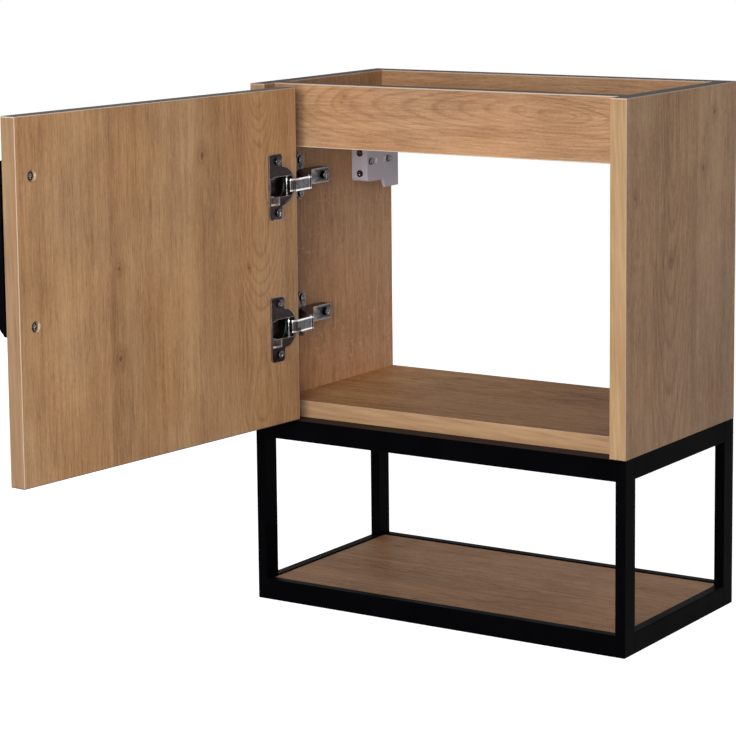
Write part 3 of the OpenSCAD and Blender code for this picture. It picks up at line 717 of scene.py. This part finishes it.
def side_panels():
    # The left side is paler low down and darker at the top: painted light and shade, the top standing
    # for the front rail's shadow.
    left_oak = oak(
        "oak_left_side", Y, Z, Rings(heart=-0.190, middle=-0.10, depth=0.02, slope=-0.10, pitch=0.0050),
        tint=(1.34, 1.24, 1.17), far_shading_tint=(0.78, 0.74, 0.70), shading_ends=(-0.26, -0.02),
        knots=((-0.197, -0.115, 0.0024),), flecks=0.75, painted_reflection_top=PANEL_TOP, fine=0.6, seed=1.7,
    )
    # The right side is darker at the bottom and paler at the top: painted light and shade.
    right_oak = oak(
        "oak_right_side", Y, Z,
        Rings(heart=-0.134, middle=-0.122, depth=0.020, slope=-0.12, pitch=0.0048, strength=0.38),
        tint=(0.86, 0.86, 0.85), far_shading_tint=(1.08, 1.08, 1.06), shading_ends=(-0.26, 0.02),
        knots=(
            (-0.134, -0.122, 0.0016),
            (-0.047, 0.005, 0.0020),
            (-0.069, -0.045, 0.0020),
            (-0.203, -0.059, 0.0016),
        ),
        bands=((-0.086, 0.010, 0.14),), flecks=0.15, painted_reflection_top=PANEL_TOP, fine=0.55, seed=3.9,
    )
    band = edge_band("band_upright", along=Z, thin=X, tint=(0.82, 0.83, 0.76), painted_reflection_top=PANEL_TOP)
    for side, side_oak in (("left", left_oak), ("right", right_oak)):
        soft_board(f"side_panel_{side}", side_oak, plain_sides=("-y",))
        soft_board(f"side_edging_{side}", band, BAND_RADIUS, plain_sides=("+y",))


def bottom():
    # The bottom is paler at its left and darker at its right: painted light and a painted shadow of the
    # right side panel.
    bottom_oak = oak(
        "oak_bottom", Y, X, Rings(heart=-0.060, middle=-0.10, depth=0.01, slope=0.12, pitch=0.0045),
        tint=(1.22, 1.15, 0.98), far_shading_tint=(0.56, 0.55, 0.57), shading_ends=(-0.15, 0.18),
        knots=((-0.030, -0.085, 0.0020), (-0.055, -0.120, 0.0012)),
        flecks=0.3, sheen=0.02, fine=0.5, seed=8.4,
    )
    soft_board("bottom_panel", bottom_oak, plain_sides=("-y", "-x", "+x"))
    soft_board("bottom_edging", level_band, BAND_RADIUS, plain_sides=("+y", "-x", "+x"))


def rails():
    front_oak = oak(
        "oak_front_rail", Z, X,
        Rings(
            heart=0.010, middle=0.125, depth=0.005, slope=0.17, wave=-0.005, period=0.50, pitch=0.0034,
            strength=0.38,
        ),
        tint=(0.85, 0.83, 0.82), knots=((0.020, -0.105, 0.0014), (0.014, -0.108, 0.0009)),
        painted_reflection_top=PANEL_TOP, seed=5.3,
    )
    back_oak = oak(
        "oak_back_rail", Z, X, Rings(heart=-0.020, middle=0.05, depth=0.01, slope=0.20),
        painted_reflection_top=PANEL_TOP, seed=7.1,
    )
    soft_board("front_rail", front_oak, plain_sides=("-z", "-x", "+x"))
    soft_board("back_rail", back_oak, plain_sides=("-x", "+x"))
    band = edge_band("band_rail", along=X, thin=Y)
    soft_board("front_rail_edging", band, BAND_RADIUS, plain_sides=("+z", "-x", "+x"))


# Door


def on_door(u, z):
    """Grain coordinates of a point on the door, from its hinge edge and its bottom edge."""
    return DOOR_FROM + u, DOOR_LOW + z


def door():
    """The panel keeps its CAD mesh, with its bores, under a new finish."""
    door_oak = oak(
        "oak_door", ALONG_DOOR, Z,
        Rings(
            heart=DOOR_FROM + 0.055, middle=-0.034, depth=0.022, slope=-0.10, wave=0.004, period=0.157,
            pitch=0.0030, strength=0.30,
        ),
        tint=(1.0, 0.97, 0.87),
        knots=(
            (*on_door(0.243, 0.174), 0.0019),
            (*on_door(0.243, 0.095), 0.0022),
            (*on_door(0.132, 0.263), 0.0025),
            (*on_door(0.070, 0.154), 0.0011),
        ),
        bands=((DOOR_FROM + 0.247, 0.013, 0.22), (DOOR_FROM + 0.150, 0.018, -0.14)),
        seed=0.31,
    )
    repaint("door_panel", door_oak)
    # The door's band has a darker tint than the other bands: painted shade, for an edge that faces away
    # from the light.
    band = edge_band(
        "band_door", along=Z, thin=OUT_OF_DOOR, tint=(0.62, 0.60, 0.58), painted_reflection_top=DOOR_TOP,
        painted_shadow_under=DOOR_LOW,
    )
    soft_board("door_edging", band, BAND_RADIUS, space=DOOR_SPACE)
    soft_fitting("handle", black_coat, 0.8 * MM, segments=3)


# Frame and shelf


def tube_frame():
    """Posts and tubes. The upper front tube has a browner top, a painted reflection in its top face,
    which shows below the bottom panel.
    """
    brown_reflection_coat = powder_black("black_powder_coat_brown_reflection", top=(0.050, 0.036, 0.032))
    for depth in ("front", "rear"):
        for side in ("left", "right"):
            soft_board(f"post_{depth}_{side}", black_coat, TUBE_RADIUS, plain_sides=("+z",))
    for level in ("lower", "upper"):
        for depth in ("front", "rear"):
            coat = brown_reflection_coat if (level, depth) == ("upper", "front") else black_coat
            soft_board(f"{level}_tube_{depth}", coat, TUBE_RADIUS, plain_sides=("-x", "+x"))
        for side in ("left", "right"):
            soft_board(f"{level}_tube_{side}", black_coat, TUBE_RADIUS, plain_sides=("-y", "+y"))
    soft_fitting("shelf_tabs", black_coat, 0.2 * MM)


def shelf():
    # The shelf's darker tint is painted shade: the upward-facing board is lit more brightly than wanted.
    shelf_oak = oak(
        "oak_shelf", Y, X, Rings(heart=-0.120, middle=0.05, depth=0.01, slope=0.12, pitch=0.0050),
        tint=(0.82, 0.78, 0.76), knots=((-0.045, -0.150, 0.0018),), flecks=0.25, sheen=0.06, fine=0.5,
        seed=11.2,
    )
    soft_board("shelf_board", shelf_oak, plain_sides=("-y",))
    soft_board("shelf_edging", level_band, BAND_RADIUS, plain_sides=("+y",))


# Hinges

# The pocket below a cup's mouth and the tile in it, each with its reach from the cup's far side, its
# drop from the cup's middle and its place below the flange's face
POCKET_REACH, POCKET_DROP, POCKET_DEPTH = (15.0 * MM, 2.4 * MM), (17.0 * MM, 9.0 * MM), 1.0 * MM
TILE_REACH, TILE_DROP, TILE_SUNK = (14.4 * MM, 3.0 * MM), (15.4 * MM, 9.6 * MM), 0.35 * MM
PRESSED_RADIUS = 0.30 * MM


def hinge_cup(label, tile_metal):
    """The cup's flange with its shallow pocket, and the tile that lies in the pocket."""
    node = f"hinge_cup_{label}"
    low, high = extent(node, DOOR_SPACE)
    middle = (low.z + high.z) / 2
    far, face = high.x, high.y

    def beside_mouth(reach, drop, y_from, y_to, radius):
        return block(
            (far - reach[0], face + y_from, middle - drop[0]),
            (far - reach[1], face + y_to, middle - drop[1]),
            radius, DOOR_SPACE,
        )

    pocket = beside_mouth(POCKET_REACH, POCKET_DROP, -POCKET_DEPTH, POCKET_DEPTH, 0.0)
    cup = carve(free_copy(node), pocket)
    stand_for(node, soften(cup, PRESSED_RADIUS), nickel, FITTING_SMOOTH)
    tile = beside_mouth(TILE_REACH, TILE_DROP, -POCKET_DEPTH, -TILE_SUNK, 0.25 * MM)
    piece(f"hinge_switch_{label}", tile, "door", tile_metal)


def hinge_strap(label):
    node = f"hinge_link_{label}"
    low, high = extent(node)
    chrome = worn_metal(
        f"bright_chrome_{label}", plating=(0.14, 0.14, 0.145), worn=(0.040, 0.040, 0.044),
        rim=(0.98, 0.96, 0.95), roughness=0.20, glint_width=0.9 * MM, scratch=0.05, strap=(low.z, high.z),
    )
    soft_fitting(node, chrome, PRESSED_RADIUS)


def hinges():
    tile_metal = worn_metal(
        "grey_nickel", plating=(0.13, 0.11, 0.11), worn=(0.07, 0.06, 0.06), rim=(0.30, 0.28, 0.28),
        roughness=0.36,
    )
    arm_metal = worn_metal(
        "dark_nickel_arm", plating=(0.026, 0.021, 0.021), worn=(0.012, 0.010, 0.010),
        rim=(0.66, 0.61, 0.60), roughness=0.24, glint_width=0.40 * MM,
    )
    for label in ("upper", "lower"):
        hinge_cup(label, tile_metal)
        hinge_strap(label)
        soft_fitting(f"hinge_arm_{label}", arm_metal, PRESSED_RADIUS)
        soft_fitting(f"mounting_plate_{label}", nickel, PRESSED_RADIUS)


# Wall hangers

TICK_WIDTH, TICK_HEIGHT, TICK_STEP, TICK_LEAN = 0.9 * MM, 4.8 * MM, 1.9 * MM, 0.25
TICK_SUNK, TICK_PROUD = 0.2 * MM, 0.35 * MM
TICKS_BELOW_TOP, TICKS_FROM_FRONT, TICKS_FROM_REAR = 42.0 * MM, 14.5 * MM, 26.0 * MM


def hanger_marks(side, mirror, plastic):
    """Slanted ticks on a hanger's face, beside its two fixing screws."""
    low, high = extent(f"hanger_body_{side}")
    face = high.x if mirror > 0 else low.x
    height = high.z - TICKS_BELOW_TOP
    turned = Matrix(((0, mirror, 0, 0), (1, 0, 0, 0), (0, 0, 1, 0), (0, 0, 0, 1)))
    ticks = []
    for start in (low.y + TICKS_FROM_FRONT, high.y - TICKS_FROM_REAR):
        for y in (start, start + TICK_STEP):
            tick = block(
                (y, mirror * face - TICK_SUNK, height - TICK_HEIGHT / 2),
                (y + TICK_WIDTH, mirror * face + TICK_PROUD, height + TICK_HEIGHT / 2),
                0.1 * MM, turned, TICK_LEAN,
            )
            ticks.append(tick)
    marks = joined(ticks)
    bmesh.ops.recalc_face_normals(marks, faces=marks.faces)
    piece(f"hanger_marks_{side}", marks, "cabinet", plastic)


def hangers():
    housing = moulded_plastic(
        "lilac_grey_plastic", colour=(0.490, 0.445, 0.525), pale=(0.530, 0.485, 0.565)
    )
    marks = moulded_plastic("pale_plastic", colour=(0.80, 0.78, 0.80), pale=(0.86, 0.84, 0.86))
    for side, mirror in (("left", 1), ("right", -1)):
        soft_fitting(f"hanger_body_{side}", housing, 0.6 * MM, segments=3)
        hanger_marks(side, mirror, marks)
        soft_fitting(f"hanger_hook_{side}", zinc, 0.4 * MM)


# Fasteners


def fasteners():
    # The screw heads' bright rims are painted glints.
    bright = worn_metal(
        "screw_steel", plating=(0.060, 0.053, 0.056), worn=(0.022, 0.019, 0.020), rim=(0.98, 0.97, 0.97),
        roughness=0.16, glint_width=0.34 * MM, scratch=0.05,
    )
    for place in ("cup", "plate", "arm", "handle", "hanger_fixing"):
        soft_fitting(f"{place}_screws", bright, 0.22 * MM)
    soft_fitting("hanger_adjusters", bright, 0.22 * MM)
    black_zinc = worn_metal(
        "black_zinc", plating=(0.020, 0.019, 0.021), worn=(0.010, 0.010, 0.011), rim=(0.05, 0.05, 0.05),
        roughness=0.38,
    )
    for place in ("frame", "shelf"):
        soft_fitting(f"{place}_screws", black_zinc, 0.2 * MM)
    for node in ("cup_pins", "arm_pins", "cam_bolts", "cam_locks"):
        repaint(node, zinc)
    repaint("dowels", beech("beech_dowel"))


# Studio

# The camera is solved from the photo's straight edges. Its place is in metres and its turns are in
# radians. The focal length and the height of the optical axis are in pixels of the square photo
CAMERA_PLACE = Vector((1.2669, -2.2510, 0.2185))
CAMERA_TURN = 0.58173
CAMERA_TILT = -0.14302
CAMERA_ROLL = 0.01069
IMAGE_SIDE = 736
FOCAL_PX = 2650
MIDDLE_PX = 262
SENSOR_MM = 36.0

SIDE_LIGHT, OVERHEAD_LIGHT = 0.27, 0.05
FLOOR_GREY = (0.60, 0.60, 0.60)


def camera():
    data = bpy.data.cameras.new("camera")
    data.sensor_width = SENSOR_MM
    data.lens = FOCAL_PX / IMAGE_SIDE * data.sensor_width
    data.shift_y = (MIDDLE_PX - IMAGE_SIDE / 2) / IMAGE_SIDE
    data.clip_start, data.clip_end = 0.05, 60.0
    obj = bpy.data.objects.new("camera", data)
    turn = (
        Matrix.Rotation(CAMERA_TURN, 4, "Z")
        @ Matrix.Rotation(CAMERA_TILT, 4, "X")
        @ Matrix.Rotation(CAMERA_ROLL, 4, "Y")
        @ Matrix.Rotation(math.radians(90), 4, "X")
    )
    obj.matrix_world = Matrix.Translation(CAMERA_PLACE) @ turn
    bpy.context.scene.collection.objects.link(obj)
    bpy.context.scene.camera = obj


def softbox(name, location, target, size, watts, colour=WHITE, mirrored=True):
    """A soft light. One that isn't mirrored leaves no glare on satin surfaces."""
    data = bpy.data.lights.new(name, "AREA")
    data.shape = "RECTANGLE"
    data.size, data.size_y = size
    data.energy = watts
    data.color = colour
    obj = bpy.data.objects.new(name, data)
    obj.location = location
    obj.rotation_mode = "QUATERNION"
    obj.rotation_quaternion = (Vector(target) - Vector(location)).to_track_quat("-Z", "Y")
    obj.visible_glossy = mirrored
    bpy.context.scene.collection.objects.link(obj)


def white_for_viewers(g):
    """1 for camera, glossy and transmission rays, and 0 for the rays that light surfaces."""
    rays = g.add("ShaderNodeLightPath").outputs
    seen = g.math("MAXIMUM", rays["Is Camera Ray"], rays["Is Glossy Ray"])
    return g.math("MAXIMUM", seen, rays["Is Transmission Ray"])


def world():
    """Even light from all round, weaker from overhead, in front of a white backdrop."""
    made = bpy.data.worlds.new("studio")
    bpy.context.scene.world = made
    g = Graph(made)
    up = g.dot(g.coordinates("Generated"), Z)
    light = g.span(up, 0.0, 1.0, SIDE_LIGHT, OVERHEAD_LIGHT)
    mix = g.add("ShaderNodeMixShader")
    g.put(mix.inputs[0], white_for_viewers(g))
    g.put(mix.inputs[1], g.shader("ShaderNodeBackground", (1, 1, 1.03), light))
    g.put(mix.inputs[2], g.shader("ShaderNodeBackground", WHITE))
    g.put(g.add("ShaderNodeOutputWorld").inputs[0], mix.outputs[0])


def floor_paint():
    """A dull grey for light, and nearly white to look at."""
    material = bpy.data.materials.new("pale_floor")
    g = Graph(material)
    speckle = g.span(g.noise(g.coordinates("Generated"), scale=3.0), 0.0, 1.0, 0.92, 0.95)
    both = g.add("ShaderNodeAddShader")
    g.put(both.inputs[0], g.shader("ShaderNodeBsdfDiffuse", FLOOR_GREY))
    glow = g.product(white_for_viewers(g), speckle)
    g.put(both.inputs[1], g.shader("ShaderNodeEmission", WHITE, glow))
    g.put(g.add("ShaderNodeOutputMaterial").inputs[0], both.outputs[0])
    return material


def floor():
    """A pale floor that looks white and still takes a soft shadow."""
    bm = bmesh.new()
    bmesh.ops.create_circle(bm, cap_ends=True, segments=96, radius=7.0)
    mesh = bpy.data.meshes.new("floor")
    bm.to_mesh(mesh)
    bm.free()
    mesh.materials.append(floor_paint())
    obj = bpy.data.objects.new("floor", mesh)
    obj.location = (0, 0, FLOOR_Z - 0.2 * MM)
    bpy.context.scene.collection.objects.link(obj)


def studio():
    bpy.context.scene.view_settings.view_transform = "Standard"
    camera()
    world()
    softbox(
        "key", location=(0.60, -2.40, 0.30), target=(0.0, -0.2, -0.2), size=(1.3, 1.1), watts=51,
        colour=(1.0, 0.985, 0.96),
    )
    softbox(
        "rear_fill", location=(-2.10, 1.00, -0.15), target=(0.0, -0.1, -0.15), size=(1.3, 0.5), watts=20,
        mirrored=False,
    )
    floor()


# The whole unit

side_panels()
bottom()
rails()
door()
tube_frame()
shelf()
hinges()
hangers()
fasteners()
studio()
